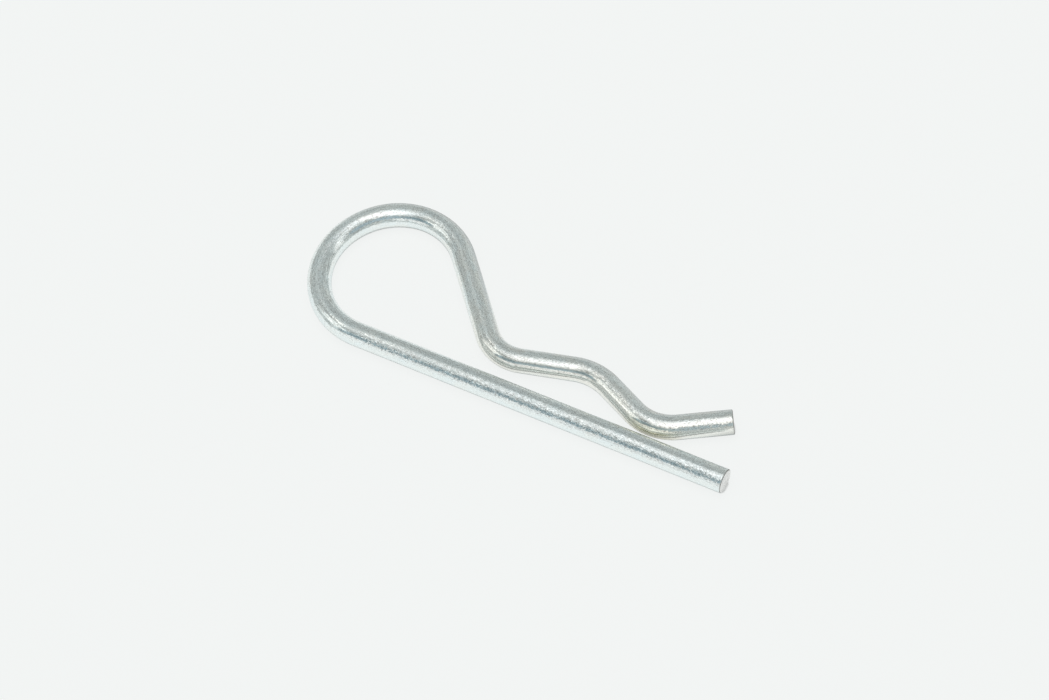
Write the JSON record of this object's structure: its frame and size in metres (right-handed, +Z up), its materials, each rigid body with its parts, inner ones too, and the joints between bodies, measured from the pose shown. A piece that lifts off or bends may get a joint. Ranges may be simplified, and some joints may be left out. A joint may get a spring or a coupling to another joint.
{
  "type": "hitch r clip pin",
  "caption": "Spring wire R clip with a straight leg, a round eye and a waved spring leg; the straight leg goes through a hitch pin's cross hole and the crown grips its shaft.",
  "frame": {"origin": "on the surface that the clip lies on, below the middle of its overall length and width", "axes": "+X along the straight leg from the eye to its tip, +Y across from the straight leg to the spring leg, +Z up, square to the clip's plane"},
  "size_m": [0.0796, 0.028, 0.004],
  "materials": {
    "zinc_steel": "bright zinc plate on drawn spring steel wire, finely pitted"
  },
  "bodies": {
    "root": {"r_clip": "zinc_steel"}
  },
  "joints": []
}
